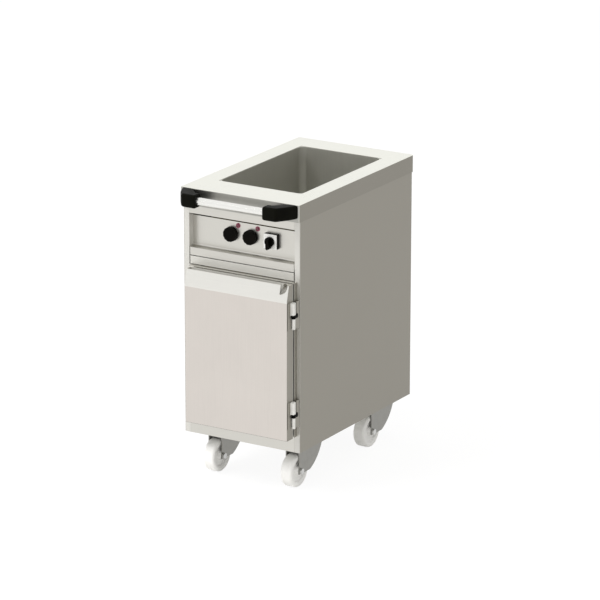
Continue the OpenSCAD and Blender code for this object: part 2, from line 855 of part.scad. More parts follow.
module caster_bolts() color(STEEL_DARK) at_caster_bolts() {
  translate([0, 0, body_z - plate_t - bolt_head_t]) cylinder(r = bolt_head_r, h = bolt_head_t, $fn = 6);
  translate([0, 0, body_z - plate_t]) cylinder(r = bolt_r, h = plate_t + floor_t);
  translate([0, 0, body_z + floor_t]) cylinder(r = bolt_head_r, h = bolt_head_t, $fn = 6);
}

// Side outline of a fork leg about the axle, drawn as (back, up)
module leg_outline() {
  leg_top = crown_z - wheel_r;
  intersection() {
    translate([-leg_nose, -leg_nose]) square([leg_arc_r, leg_top + leg_nose]);
    translate([leg_arc_y, leg_arc_z]) circle(leg_arc_r, $fn = 180);
  }
}

// Moves to the axle of one caster
module at_axle(name) {
  translate([caster_x(name), caster_y(name) - trail, wheel_r]) children();
}

module fork(name) color(STEEL_DARK) at_axle(name) difference() {
  union() {
    for (side = [0, 1]) mirror([side, 0, 0])
      translate([leg_in, 0, 0]) rotate([90, 0, 90]) linear_extrude(height = leg_t) leg_outline();
    translate([-leg_in, -leg_nose, crown_z - wheel_r - crown_t])
      cube([2 * leg_in, trail + leg_nose + race_r, crown_t]);
    translate([0, trail, crown_z - wheel_r]) cylinder(r = race_r - race_step, h = race_h);
  }
  rod_x([-leg_out - past, 0, 0], axle_r + fit, 2 * leg_out + 2 * past);
  translate([0, trail, crown_z - wheel_r - crown_t - past])
    cylinder(r = king_r + fit, h = crown_t + race_h + 2 * past);
}

module axle(name) color(STEEL_DARK) at_axle(name) {
  rod_x([-leg_out, 0, 0], axle_r, 2 * leg_out);
  for (side = [0, 1]) mirror([side, 0, 0])
    translate([leg_out, 0, 0]) rotate([0, 90, 0]) cylinder(r = hex_r, h = hex_t, $fn = 6);
}

module wheel(name) color(WHITE) at_axle(name)
  rotate([0, 90, 0]) rotate_extrude($fn = 96) {
    translate([wheel_r - tread_t / 2, 0]) round_rect(tread_t, wheel_w, tread_r);
    translate([hub_r - past, -web_w / 2]) square([wheel_r - tread_t / 2 - hub_r + past, web_w]);
    translate([axle_r + fit, -hub_end]) square([hub_r - axle_r - fit, 2 * hub_end]);
  }

module fork_front_left() fork("front_left");

module fork_front_right() fork("front_right");

module fork_rear_left() fork("rear_left");

module fork_rear_right() fork("rear_right");

module axle_front_left() axle("front_left");

module axle_front_right() axle("front_right");

module axle_rear_left() axle("rear_left");

module axle_rear_right() axle("rear_right");

module wheel_front_left() wheel("front_left");

module wheel_front_right() wheel("front_right");

module wheel_rear_left() wheel("rear_left");

module wheel_rear_right() wheel("rear_right");

worktop();
well_tank();
well_heater();
well_insulation();
side_panel_left();
side_panel_right();
rear_panel();
floor_plate();
front_post_left();
front_post_right();
top_rail();
crossbar();
plinth();
door_jamb_left();
door_jamb_right();
control_panel();
thermostats();
rotary_switch_body();
switch_faceplate();
pilot_lamp_holders();
pilot_lamp_lenses();
cupboard_liner();
tray_runners_left();
tray_runners_right();
cupboard_heater();
heater_cover();
cupboard_insulation();
handle_tube();
corner_bumper_left();
corner_bumper_right();
bumper_screws();
door_frame();
frame_hinge_knuckles();
hinge_spacers();
hinge_pins();
cable_gland();
caster_plates();
caster_bolts();
door_skin();
door_grip();
door_inner_panel();
door_insulation();
door_seal();
door_hinge_knuckles();
knob_well();
knob_cupboard();
switch_knob();
fork_front_left();
fork_front_right();
fork_rear_left();
fork_rear_right();
axle_front_left();
axle_front_right();
axle_rear_left();
axle_rear_right();
wheel_front_left();
wheel_front_right();
wheel_rear_left();
wheel_rear_right();
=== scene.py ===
"""Heated hostess trolley: the looks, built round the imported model. Metres, +Z up, the door faces -Y."""
import json
import math

import bmesh
import bpy
from mathutils import Matrix, Vector


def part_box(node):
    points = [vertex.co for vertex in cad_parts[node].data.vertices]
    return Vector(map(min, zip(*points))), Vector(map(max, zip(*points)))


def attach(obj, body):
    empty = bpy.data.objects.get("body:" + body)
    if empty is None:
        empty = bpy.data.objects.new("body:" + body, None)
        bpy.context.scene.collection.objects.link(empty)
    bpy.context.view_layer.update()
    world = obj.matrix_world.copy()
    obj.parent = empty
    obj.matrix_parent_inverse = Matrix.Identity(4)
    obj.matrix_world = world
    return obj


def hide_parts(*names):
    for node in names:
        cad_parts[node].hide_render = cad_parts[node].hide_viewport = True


MM = 0.001
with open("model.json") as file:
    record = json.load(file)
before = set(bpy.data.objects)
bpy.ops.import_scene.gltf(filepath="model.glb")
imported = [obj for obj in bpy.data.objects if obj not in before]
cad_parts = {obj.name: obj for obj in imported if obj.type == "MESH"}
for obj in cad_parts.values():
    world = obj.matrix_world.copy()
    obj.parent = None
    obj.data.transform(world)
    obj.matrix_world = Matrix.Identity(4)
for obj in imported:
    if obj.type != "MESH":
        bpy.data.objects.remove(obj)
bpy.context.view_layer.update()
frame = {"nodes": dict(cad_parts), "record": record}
nodes = frame["nodes"]
record = frame["record"]
body_of = {node: body for body, names in record["behaviour"]["bodies"].items() for node in names}
slot_of = {row["node"]: row["material_slot"] for row in record["subparts"]}


# ---- Procedural materials ----

def link(tree, out_node, out_name, in_node, in_name):
    """Joins an output to an input, both by name."""
    tree.links.new(out_node.outputs[out_name], in_node.inputs[in_name])


def start_material(name):
    """A new material, with its tree and its Principled shader."""
    material = bpy.data.materials.new(name)
    material.use_nodes = True
    tree = material.node_tree
    return material, tree, tree.nodes["Principled BSDF"]


def place(tree, scale):
    """The surface's own coordinates, stretched by scale."""
    coordinates = tree.nodes.new("ShaderNodeTexCoord")
    mapping = tree.nodes.new("ShaderNodeMapping")
    mapping.inputs["Scale"].default_value = scale
    link(tree, coordinates, "Object", mapping, "Vector")
    return mapping


def noise(tree, mapping, scale, detail=3.0, roughness=0.55):
    """Noise over the placed coordinates."""
    texture = tree.nodes.new("ShaderNodeTexNoise")
    texture.inputs["Scale"].default_value = scale
    texture.inputs["Detail"].default_value = detail
    texture.inputs["Roughness"].default_value = roughness
    link(tree, mapping, "Vector", texture, "Vector")
    return texture


def spread(tree, source, out_name, low, high, at_low=0.3, at_high=0.7):
    """Maps a noise value to the range from low to high."""
    ranged = tree.nodes.new("ShaderNodeMapRange")
    ranged.inputs["From Min"].default_value = at_low
    ranged.inputs["From Max"].default_value = at_high
    ranged.inputs["To Min"].default_value = low
    ranged.inputs["To Max"].default_value = high
    link(tree, source, out_name, ranged, "Value")
    return ranged


def tones(tree, source, out_name, dark, light, at_dark=0.3, at_light=0.7):
    """Two tones of one colour, blended by a value."""
    ramp = tree.nodes.new("ShaderNodeValToRGB")
    ramp.color_ramp.elements[0].position = at_dark
    ramp.color_ramp.elements[0].color = (*dark, 1)
    ramp.color_ramp.elements[1].position = at_light
    ramp.color_ramp.elements[1].color = (*light, 1)
    link(tree, source, out_name, ramp, "Fac")
    return ramp


def raise_surface(tree, shader, source, out_name, distance):
    """Bump from a value."""
    bump = tree.nodes.new("ShaderNodeBump")
    bump.inputs["Strength"].default_value = 1.0
    bump.inputs["Distance"].default_value = distance
    link(tree, source, out_name, bump, "Height")
    link(tree, bump, "Normal", shader, "Normal")


def shade(colour, factor):
    """The colour made lighter or darker by the factor."""
    return tuple(channel * factor for channel in colour)


# Scale of a brushed sheet's streaks along its grain and across it
GRAIN_LONG = 9.0
GRAIN_FINE = 900.0


def brushed(name, colour, grain, rough=(0.26, 0.36), contrast=0.03, relief=0.012 * MM, metal=1.0):
    """Satin sheet steel, with its grain along one axis and faint cloudy wear."""
    material, tree, shader = start_material(name)
    stretch = [GRAIN_LONG if axis == grain else GRAIN_FINE for axis in "xyz"]
    streaks = noise(tree, place(tree, stretch), 1.0, detail=4.0, roughness=0.6)
    clouds = noise(tree, place(tree, (1, 1, 1)), 5.0, detail=5.0, roughness=0.65)
    both = tree.nodes.new("ShaderNodeMix")
    both.inputs["Factor"].default_value = 0.45
    link(tree, streaks, "Fac", both, "A")
    link(tree, clouds, "Fac", both, "B")
    ramp = tones(tree, both, "Result", shade(colour, 1 - contrast), shade(colour, 1 + contrast), 0.35, 0.65)
    link(tree, ramp, "Color", shader, "Base Color")
    ranged = spread(tree, both, "Result", rough[0], rough[1], 0.35, 0.65)
    link(tree, ranged, "Result", shader, "Roughness")
    shader.inputs["Metallic"].default_value = metal
    raise_surface(tree, shader, streaks, "Fac", relief)
    return material


def cast_metal(name, colour, rough, relief=0.05 * MM, metal=0.9):
    """Zinc-plated or cast metal with a fine, slightly cloudy skin."""
    material, tree, shader = start_material(name)
    skin = noise(tree, place(tree, (1, 1, 1)), 900.0, detail=3.0)
    clouds = noise(tree, place(tree, (1, 1, 1)), 45.0, detail=4.0)
    ramp = tones(tree, clouds, "Fac", shade(colour, 0.9), shade(colour, 1.08))
    link(tree, ramp, "Color", shader, "Base Color")
    ranged = spread(tree, clouds, "Fac", rough[0], rough[1])
    link(tree, ranged, "Result", shader, "Roughness")
    shader.inputs["Metallic"].default_value = metal
    raise_surface(tree, shader, skin, "Fac", relief)
    return material


def moulded(name, dark, light, rough, relief, specular=0.5):
    """Moulded plastic or rubber with a fine spark-eroded grain."""
    material, tree, shader = start_material(name)
    grain = noise(tree, place(tree, (1, 1, 1)), 1400.0, detail=2.0)
    clouds = noise(tree, place(tree, (1, 1, 1)), 30.0, detail=4.0)
    ramp = tones(tree, clouds, "Fac", dark, light)
    link(tree, ramp, "Color", shader, "Base Color")
    ranged = spread(tree, clouds, "Fac", rough[0], rough[1])
    link(tree, ranged, "Result", shader, "Roughness")
    shader.inputs["Specular IOR Level"].default_value = specular
    raise_surface(tree, shader, grain, "Fac", relief)
    return material


def wool(name, dark, light):
    """Mineral wool: short tangled fibres."""
    material, tree, shader = start_material(name)
    fibres = noise(tree, place(tree, (1, 1, 0.35)), 700.0, detail=6.0, roughness=0.8)
    ramp = tones(tree, fibres, "Fac", dark, light)
    link(tree, ramp, "Color", shader, "Base Color")
    shader.inputs["Roughness"].default_value = 0.95
    raise_surface(tree, shader, fibres, "Fac", 1.0 * MM)
    return material


def lamp_lens(name, deep, bright):
    """Red lens with lighter red flecks painted as a faceted sparkle, a matching bump and a clear gloss."""
    material, tree, shader = start_material(name)
    flecks = noise(tree, place(tree, (1, 1, 1)), 500.0, detail=2.0)
    ramp = tones(tree, flecks, "Fac", deep, bright, 0.35, 0.65)
    link(tree, ramp, "Color", shader, "Base Color")
    shader.inputs["Roughness"].default_value = 0.16
    shader.inputs["Coat Weight"].default_value = 0.6
    raise_surface(tree, shader, flecks, "Fac", 0.08 * MM)
    return material


STEEL = (0.7, 0.68, 0.635)
# Painted light: the worktop's top, lighter than the same steel elsewhere
STEEL_TOP_PAINTED_LIGHT = (0.86, 0.86, 0.79)
# Painted shade and painted reflection: the worktop's front apron, darker than the same steel elsewhere
STEEL_APRON_PAINTED_SHADE = (0.42, 0.415, 0.385)
# Painted highlight: the grip strip's lip, lighter than the door's steel
STEEL_LIP_PAINTED_HIGHLIGHT = (0.78, 0.77, 0.73)
STEEL_PANEL = (0.645, 0.63, 0.585)
# Painted shade: sheet steel on faces that look left or right, far darker than the same steel at the front
STEEL_SIDE_PAINTED_SHADE = (0.305, 0.289, 0.252)
STEEL_DOOR = (0.675, 0.632, 0.59)
STEEL_TANK = (0.53, 0.525, 0.48)
STEEL_POST = (0.66, 0.65, 0.615)
STEEL_BAR = (0.66, 0.65, 0.61)
# Painted shade: the grip's trough, a darker, matt copy of the steel
STEEL_TROUGH_PAINTED_SHADE = (0.62, 0.61, 0.57)
STEEL_LEDGE = (0.74, 0.73, 0.69)
# Painted shade: the worktop apron's ends, darker than its front
STEEL_SIDE_APRON_PAINTED_SHADE = (0.27, 0.256, 0.222)
STEEL_TUBE = (0.83, 0.825, 0.795)
# Painted shadow: the dark line along the door's underside
STEEL_HEM_PAINTED_SHADOW = (0.12, 0.115, 0.1)

steel_x = brushed("steel_brushed_x", STEEL, "x")
steel_y = brushed("steel_brushed_y", STEEL, "y")
steel_z = brushed("steel_brushed_z", STEEL, "z")
top_steel_painted_light = brushed("steel_top_painted_light", STEEL_TOP_PAINTED_LIGHT, "y")
apron_steel_painted_shade = brushed("steel_apron_painted_shade", STEEL_APRON_PAINTED_SHADE, "x", rough=(0.34, 0.44))
post_steel = brushed("steel_post", STEEL_POST, "z", rough=(0.36, 0.46), metal=0.5)
bar_steel = brushed("steel_bar", STEEL_BAR, "x", rough=(0.44, 0.54), metal=0.4)
lip_steel_painted_highlight = brushed("steel_lip_painted_highlight", STEEL_LIP_PAINTED_HIGHLIGHT, "x", rough=(0.34, 0.44), metal=0.9)
trough_steel_painted_shade = brushed("steel_trough_painted_shade", STEEL_TROUGH_PAINTED_SHADE, "x", rough=(0.5, 0.6), metal=0.15)
ledge_steel = brushed("steel_ledge", STEEL_LEDGE, "x", rough=(0.12, 0.2))
panel_steel = brushed("steel_panel", STEEL_PANEL, "x", rough=(0.3, 0.4))
side_steel_painted_shade = brushed("steel_side_painted_shade", STEEL_SIDE_PAINTED_SHADE, "z", rough=(0.36, 0.46), metal=0.8)
side_apron_steel_painted_shade = brushed("steel_side_apron_painted_shade", STEEL_SIDE_APRON_PAINTED_SHADE, "y", rough=(0.36, 0.46), metal=0.8)
door_steel = brushed("steel_door", STEEL_DOOR, "z", rough=(0.34, 0.44), contrast=0.04)
tank_steel = brushed("steel_tank", STEEL_TANK, "z", rough=(0.3, 0.42), contrast=0.05, metal=0.8)
tube_steel = brushed("steel_tube", STEEL_TUBE, "x", rough=(0.2, 0.28), contrast=0.02, metal=0.9)
hem_steel_painted_shadow = brushed("steel_hem_painted_shadow", STEEL_HEM_PAINTED_SHADOW, "x", metal=0.8)
heater_skin = cast_metal("heater_sheath", (0.25, 0.24, 0.23), (0.45, 0.6))
zinc = cast_metal("zinc_plating", (0.62, 0.62, 0.61), (0.3, 0.42))
caster_steel = cast_metal("caster_steel", (0.3, 0.295, 0.275), (0.3, 0.45))
hinge_cast = cast_metal("hinge_cast", (0.9, 0.895, 0.87), (0.4, 0.55), metal=0.1)
bumper_black = moulded("bumper_black", (0.002, 0.002, 0.001), (0.004, 0.004, 0.002), (0.42, 0.55), 0.05 * MM,
                       specular=0.05)
knob_black = moulded("knob_black", (0.001, 0.001, 0.0005), (0.004, 0.003, 0.002), (0.35, 0.5), 0.03 * MM,
                     specular=0.05)
spacer_black = moulded("spacer_black", (0.002, 0.002, 0.002), (0.004, 0.004, 0.004), (0.45, 0.6), 0.03 * MM,
                       specular=0.04)
seal_black = moulded("seal_black", (0.012, 0.012, 0.012), (0.02, 0.02, 0.02), (0.6, 0.75), 0.05 * MM)
plate_white = moulded("plate_white", (0.84, 0.84, 0.83), (0.88, 0.88, 0.87), (0.3, 0.38), 0.01 * MM)
wheel_white = moulded("wheel_white", (0.9, 0.9, 0.89), (0.95, 0.95, 0.94), (0.4, 0.55), 0.03 * MM)
mineral_wool = wool("mineral_wool", (0.5, 0.42, 0.2), (0.8, 0.72, 0.45))
lens_red = lamp_lens("lens_red", (0.08, 0.002, 0.012), (0.2, 0.01, 0.04))
bezel_red = moulded("bezel_red", (0.38, 0.07, 0.14), (0.5, 0.14, 0.22), (0.3, 0.4), 0.01 * MM)

MATERIAL_OF_SLOT = {
    "stainless": steel_z, "tank_steel": tank_steel, "polished_tube": tube_steel, "heater_sheath": heater_skin,
    "mineral_wool": mineral_wool, "bumper_black": bumper_black, "knob_black": knob_black,
    "switch_black": knob_black, "switch_white": plate_white, "lamp_red": lens_red, "hinge_cast": hinge_cast,
    "spacer_black": spacer_black, "zinc_parts": zinc, "caster_steel": caster_steel,
    "wheel_nylon": wheel_white, "seal_rubber": seal_black,
}
MATERIAL_OF_NODE = {
    "top_rail": panel_steel, "plinth": panel_steel, "crossbar": bar_steel,
    "front_post_left": post_steel, "front_post_right": post_steel,
    "tray_runners_left": steel_y, "tray_runners_right": steel_y, "heater_cover": steel_y,
    "door_grip": steel_x, "door_skin": door_steel, "pilot_lamp_holders": bezel_red,
}
# Finishes whose faces towards the sides take the side steel, whose darker colour is painted shade
SHEET_STEEL = (steel_x, steel_y, steel_z, door_steel, panel_steel, post_steel, bar_steel)


def finish_of(node):
    """The node's own material, or else the one of its slot."""
    return MATERIAL_OF_NODE.get(node, MATERIAL_OF_SLOT[slot_of[node]])


def finishes_of(node):
    """The node's material, and the one of its upright faces towards the sides: for sheet steel, the side steel with
    its painted shade.
    """
    finish = finish_of(node)
    return [finish, side_steel_painted_shade if finish in SHEET_STEEL else finish]


# ---- Mesh helpers ----

def add_piece(name, bm, node, materials):
    """Makes an object of a bmesh, with the given materials. It rides on the node's body and replaces it."""
    mesh = bpy.data.meshes.new(name)
    bmesh.ops.recalc_face_normals(bm, faces=bm.faces)
    bm.to_mesh(mesh)
    bm.free()
    piece = bpy.data.objects.new(name, mesh)
    bpy.context.scene.collection.objects.link(piece)
    for material in materials:
        mesh.materials.append(material)
    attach(piece, body_of[node])
    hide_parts(node)
    return piece


def smooth(piece, degrees=32):
    """Smooth shading that keeps edges sharper than the angle, with flat faces left flat."""
    mesh = piece.data
    mesh.shade_smooth()
    mesh.set_sharp_from_angle(angle=math.radians(degrees))
    weighted = piece.modifiers.new("flat_faces", "WEIGHTED_NORMAL")
    weighted.keep_sharp = True
    weighted.weight = 100


# Least part of a face's normal along an axis for the face to count as facing that way
FACING = 0.75
# Reach of a hinge's knuckles from its axis; what lies further out is plate
KNUCKLE_REACH = 12.5 * MM
# The grip strip: its left end wall, its scooped right end, the depth of its lip and of the lip's sheet, and
# the height above which its trough is open
GRIP_WALL, GRIP_SCOOP, GRIP_LIP, GRIP_SHEET, GRIP_FLOOR = 2.4 * MM, 29 * MM, 14 * MM, 3 * MM, 5 * MM


def mark_sides(bm, bright_side=0):
    """Second material, which carries the painted side shade, on the faces that look to the left or right. Those to
    bright_side keep the first.
    """
    bm.normal_update()
    for face in bm.faces:
        across = face.normal.x
        face.material_index = 1 if abs(across) > FACING and across * bright_side <= 0 else 0


def mark_hinge_plates(piece):
    """Painted shade on a hinge: its parts off the axis take the dark side steel in place of the hinge's own colour.
    """
    axis = corners("hinge_pins")
    centre = (axis[0] + axis[1]) / 2
    piece.data.materials[1] = side_steel_painted_shade
    for face in piece.data.polygons:
        away = Vector((face.center.x - centre.x, face.center.y - centre.y)).length
        face.material_index = 1 if away > KNUCKLE_REACH else 0


def mark_grip(piece):
    """Painted highlight on the grip strip's lip, a brighter steel, and painted shade in the trough behind it, a
    darker matt steel.
    """
    low, high = corners("door_grip")
    piece.data.materials.append(lip_steel_painted_highlight)
    piece.data.materials.append(trough_steel_painted_shade)
    for face in piece.data.polygons:
        depth, height = face.center.y - low.y, face.center.z - low.z
        between = low.x + GRIP_WALL < face.center.x < high.x - GRIP_SCOOP
        inside = between and depth > GRIP_SHEET and GRIP_FLOOR < height < high.z - low.z
        if face.normal.y < -0.2 and depth < GRIP_LIP:
            face.material_index = 2
        elif inside and face.normal.z > -0.5:
            face.material_index = 3


def round_edges(bm, edges, width, segments=2):
    """Rounds the edges off by width."""
    bmesh.ops.bevel(bm, geom=edges, offset=width, segments=segments, profile=0.5, affect="EDGES",
                    clamp_overlap=True)


# Points closer than this are one, faces within the first angle are one, and edges over the second are sharp
SAME_POINT = 0.002 * MM
FLAT_ANGLE, SHARP_ANGLE = math.radians(0.5), math.radians(28)
# The sides of the front posts that look into the recess stay bright, without the painted side shade
BRIGHT_SIDE = {"front_post_left": 1, "front_post_right": -1}


def soften(node, width):
    """Copy of a CAD node with its corners rounded off by width, and the painted side shade on its faces that look
    left or right.
    """
    bm = bmesh.new()
    bm.from_mesh(nodes[node].data)
    bmesh.ops.remove_doubles(bm, verts=bm.verts, dist=SAME_POINT)
    bmesh.ops.dissolve_limit(bm, angle_limit=FLAT_ANGLE, verts=bm.verts, edges=bm.edges)
    sharp = [edge for edge in bm.edges
             if len(edge.link_faces) == 2 and edge.calc_face_angle(0) > SHARP_ANGLE]
    round_edges(bm, sharp, width)
    mark_sides(bm, BRIGHT_SIDE.get(node, 0))
    piece = add_piece(node + "_finished", bm, node, finishes_of(node))
    smooth(piece)
    if "hinge_knuckles" in node:
        mark_hinge_plates(piece)
    if node == "door_grip":
        mark_grip(piece)


def box_faces(bm, low, high):
    """Closed box between two corners. Returns its edges, in the same order each run."""
    verts = [bm.verts.new((x, y, z)) for x in (low[0], high[0]) for y in (low[1], high[1])
             for z in (low[2], high[2])]
    faces = [bm.faces.new([verts[i] for i in ring]) for ring in
             ((0, 1, 3, 2), (4, 6, 7, 5), (0, 4, 5, 1), (2, 3, 7, 6), (0, 2, 6, 4), (1, 5, 7, 3))]
    return list(dict.fromkeys(edge for face in faces for edge in face.edges))


def plan_loop(half, y0, y1, radius, z, steps=5, rounder=1.0):
    """Points of a rectangle with round corners, at one height. rounder multiplies the radius at the back."""
    points = []
    for turn, (sx, y, sy) in enumerate(((1, y1, -1), (-1, y1, -1), (-1, y0, 1), (1, y0, 1))):
        bend = radius * (rounder if sy < 0 else 1.0)
        centre = Vector((sx * (half - bend), y + sy * bend, z))
        for step in range(steps + 1):
            angle = math.radians(90 * (turn + step / steps))
            points.append(centre + Vector((math.cos(angle), math.sin(angle), 0)) * bend)
    return points


def loft(bm, loops, closed=False):
    """Joins loops of points with quads. Returns the rings of new corners."""
    rings = [[bm.verts.new(point) for point in loop] for loop in loops]
    pairs = list(zip(rings, rings[1:] + rings[:1])) if closed else list(zip(rings, rings[1:]))
    for lower, upper in pairs:
        for i in range(len(lower)):
            j = (i + 1) % len(lower)
            bm.faces.new((lower[i], lower[j], upper[j], upper[i]))
    return rings


def corners(node):
    """Lowest and highest corner of a node at rest."""
    low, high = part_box(node)
    return Vector(low), Vector(high)


# ---- Pieces that keep the CAD shape ----

REMADE = ["worktop", "well_tank", "control_panel", "door_skin", "corner_bumper_left", "corner_bumper_right"]
# How far the edges of each node are rounded off, in millimetres
SOFTENED = {
    "side_panel_left": 0.5, "side_panel_right": 0.5, "rear_panel": 0.4, "floor_plate": 0.4,
    "front_post_left": 0.5, "front_post_right": 0.5, "top_rail": 0.5, "crossbar": 0.5, "plinth": 0.5,
    "door_jamb_left": 0.4, "door_jamb_right": 0.4, "cupboard_liner": 0.3, "tray_runners_left": 0.4,
    "tray_runners_right": 0.4, "heater_cover": 0.4, "door_frame": 0.5, "door_grip": 0.9,
    "door_inner_panel": 0.5, "door_seal": 1.5, "frame_hinge_knuckles": 1.2, "door_hinge_knuckles": 1.2,
    "hinge_spacers": 0.5, "cable_gland": 0.8, "handle_tube": 0.3, "rotary_switch_body": 0.8,
    "switch_faceplate": 0.5, "pilot_lamp_holders": 0.2, "caster_plates": 0.8, "caster_bolts": 0.4,
    "bumper_screws": 0.4, "knob_well": 0.8, "knob_cupboard": 0.8, "switch_knob": 1.2,
}
for caster in ("front_left", "front_right", "rear_left", "rear_right"):
    SOFTENED["fork_" + caster] = 0.9
    SOFTENED["axle_" + caster] = 0.5
    SOFTENED["wheel_" + caster] = 1.0

for node, width in SOFTENED.items():
    soften(node, width * MM)

for node, thing in nodes.items():
    if node not in SOFTENED and node not in REMADE:
        thing.data.materials.clear()
        thing.data.materials.append(finish_of(node))


# ---- Pieces that are made afresh ----

SHEET = 1.5 * MM
FLANGE = 12 * MM
WELL_LIP = 2 * MM
# A quarter turn in steps, without its start
ARC = [math.radians(90 * step / 5) for step in range(1, 6)]


def make_worktop():
    """Folded sheet: apron, top and the collar round the well, with soft folds."""
    low, high = corners("worktop")
    tank_low, tank_high = corners("well_tank")
    fold, lip, corner = 3 * MM, WELL_LIP, 4 * MM
    tight, loose, rear_rounder, radius_loss = 1.5 * MM, 3 * MM, 2.5, 0.6
    well = (tank_high.x - FLANGE, tank_low.y + FLANGE, tank_high.y - FLANGE)

    def outer(inset, z, radius):
        return plan_loop(high.x - inset, low.y + inset, high.y - inset, radius, z, rounder=rear_rounder)

    def inner(grow, z, radius):
        return plan_loop(well[0] + grow, well[1] - grow, well[2] + grow, radius, z)

    top = high.z
    loops = [outer(0, low.z, corner), outer(0, top - fold, corner)]
    loops += [outer(fold * (1 - math.cos(a)), top - fold * (1 - math.sin(a)),
                    corner - radius_loss * fold * (1 - math.cos(a))) for a in ARC]
    loops += [inner(lip * (1 - math.sin(a)), top - lip * (1 - math.cos(a)), tight + lip * (1 - math.sin(a)))
              for a in [0.0] + ARC]
    loops += [inner(0, tank_high.z, tight), inner(SHEET, tank_high.z, loose), inner(SHEET, top - SHEET, loose),
              outer(SHEET, top - SHEET, corner - SHEET), outer(SHEET, low.z, corner - SHEET)]
    bm = bmesh.new()
    loft(bm, loops, closed=True)
    bm.normal_update()
    # Painted light and shade: the top takes a lighter steel, the front apron and the sides darker ones; the back
    # keeps plain steel and the well takes the tank's
    for face in bm.faces:
        normal, middle = face.normal, face.calc_center_median()
        in_well = abs(middle.x) < well[0] + lip and well[1] - lip < middle.y < well[2] + lip and middle.z < top - MM
        if in_well:
            face.material_index = 4
        elif abs(normal.x) > FACING:
            face.material_index = 3
        elif abs(normal.y) > FACING:
            face.material_index = 1 if normal.y < 0 else 2
    smooth(add_piece("worktop_sheet", bm, "worktop", [top_steel_painted_light, apron_steel_painted_shade, steel_x, side_apron_steel_painted_shade, tank_steel]))


def make_tank():
    """Drawn tank with a flange, an upstand that covers the worktop's collar, and round bends."""
    low, high = corners("well_tank")
    wall, corner, bend = 1.2 * MM, 25 * MM, 18 * MM
    # The upstand: its play in the collar, its thickness, and the soft edge along its top
    play, thick, rise, edge_out, edge_in = 0.2 * MM, 0.8 * MM, 0.2 * MM, 0.3 * MM, 0.5 * MM
    half, y0, y1 = high.x - FLANGE, low.y + FLANGE, high.y - FLANGE
    rim, floor = corners("worktop")[1].z - WELL_LIP, low.z + wall
    inner = -play - thick

    def ring(grow, z):
        return plan_loop(half + grow, y0 - grow, y1 + grow, corner + max(grow, -0.8 * bend), z, steps=8)

    def square(shrink, z):
        return plan_loop(half - shrink, y0 + shrink, y1 - shrink, WELL_LIP, z, steps=8)

    inside = [ring(FLANGE, high.z), square(play, high.z), square(play, rim), square(play + edge_out, rim + rise),
              ring(-play - edge_in, rim + rise), ring(inner, rim)]
    inside += [ring(inner - bend * (1 - math.cos(a)), floor + bend * (1 - math.sin(a)))
               for a in [0.0] + ARC]
    outside = [ring(FLANGE, high.z - wall), ring(wall, high.z - wall)]
    outside += [ring(wall - (bend + wall) * (1 - math.cos(a)), low.z + (bend + wall) * (1 - math.sin(a)))
                for a in [0.0] + ARC]
    bm = bmesh.new()
    rings = loft(bm, list(reversed(inside)) + outside)
    bm.faces.new(rings[0])
    bm.faces.new(rings[-1])
    smooth(add_piece("well_tank_drawn", bm, "well_tank", [tank_steel]))


def make_panel():
    """Control panel: the upright plate, and the ledge and bar folded from it."""
    low, high = corners("control_panel")
    shadow_gap, bar_height, plate_edge = 3 * MM, 26 * MM, 0.4 * MM
    fold, sweep = 2 * MM, 6 * MM
    crossbar_high = corners("crossbar")[1]
    ledge_half, bar_half = corners("front_post_right")[0].x, crossbar_high.x
    bar_z = crossbar_high.z + shadow_gap
    ledge_z = bar_z + bar_height
    face_y = high.y - SHEET
    front = [(low.y, bar_z, bar_half), (low.y, ledge_z - fold, bar_half)]
    front += [(low.y + fold * (1 - math.cos(a)), ledge_z - fold * (1 - math.sin(a)), bar_half) for a in ARC]
    front += [(low.y + 2 * fold, ledge_z, ledge_half), (face_y - sweep, ledge_z, ledge_half)]
    front += [(face_y - sweep * (1 - math.sin(a)), ledge_z + sweep * (1 - math.cos(a)), ledge_half) for a in ARC]
    back = [(face_y + SHEET / 2, ledge_z + sweep, ledge_half), (face_y + SHEET / 2, ledge_z - SHEET, ledge_half),
            (low.y + 2 * fold, ledge_z - SHEET, ledge_half), (low.y + SHEET, ledge_z - SHEET, bar_half),
            (low.y + SHEET, bar_z, bar_half)]
    path = front + back
    bm = bmesh.new()
    ends = [[bm.verts.new((side * half, y, z)) for y, z, half in path] for side in (-1, 1)]
    for i in range(len(path)):
        j = (i + 1) % len(path)
        bm.faces.new((ends[0][i], ends[0][j], ends[1][j], ends[1][i]))
    for end in ends:
        bmesh.ops.triangulate(bm, faces=[bm.faces.new(end)])
    # The plate comes last: faces made after a bevel get another order in each run
    round_edges(bm, box_faces(bm, (low.x, face_y, low.z), (high.x, high.y, high.z)), plate_edge)
    bm.normal_update()
    for face in bm.faces:
        face.material_index = 1 if face.normal.z > 0.3 and face.calc_center_median().z < ledge_z + sweep else 0
    smooth(add_piece("control_panel_folded", bm, "control_panel", [panel_steel, ledge_steel]))


def make_door_skin():
    """Folded door sheet with soft edges round its front, painted side shade on its sides, and a painted shadow line
    along its underside.
    """
    low, high = corners("door_skin")
    bend = 2.2 * MM
    bm = bmesh.new()
    edges = box_faces(bm, low, high)
    front = [edge for edge in edges if all(abs(v.co.y - low.y) < MM for v in edge.verts)
             and not all(abs(v.co.z - high.z) < MM for v in edge.verts)]
    round_edges(bm, front, bend, segments=4)
    mark_sides(bm)
    # Painted shadow: the faces that look down take the dark hem steel
    for face in bm.faces:
        if face.normal.z < -0.3:
            face.material_index = 2
    smooth(add_piece("door_sheet", bm, "door_skin", finishes_of("door_skin") + [hem_steel_painted_shadow]))


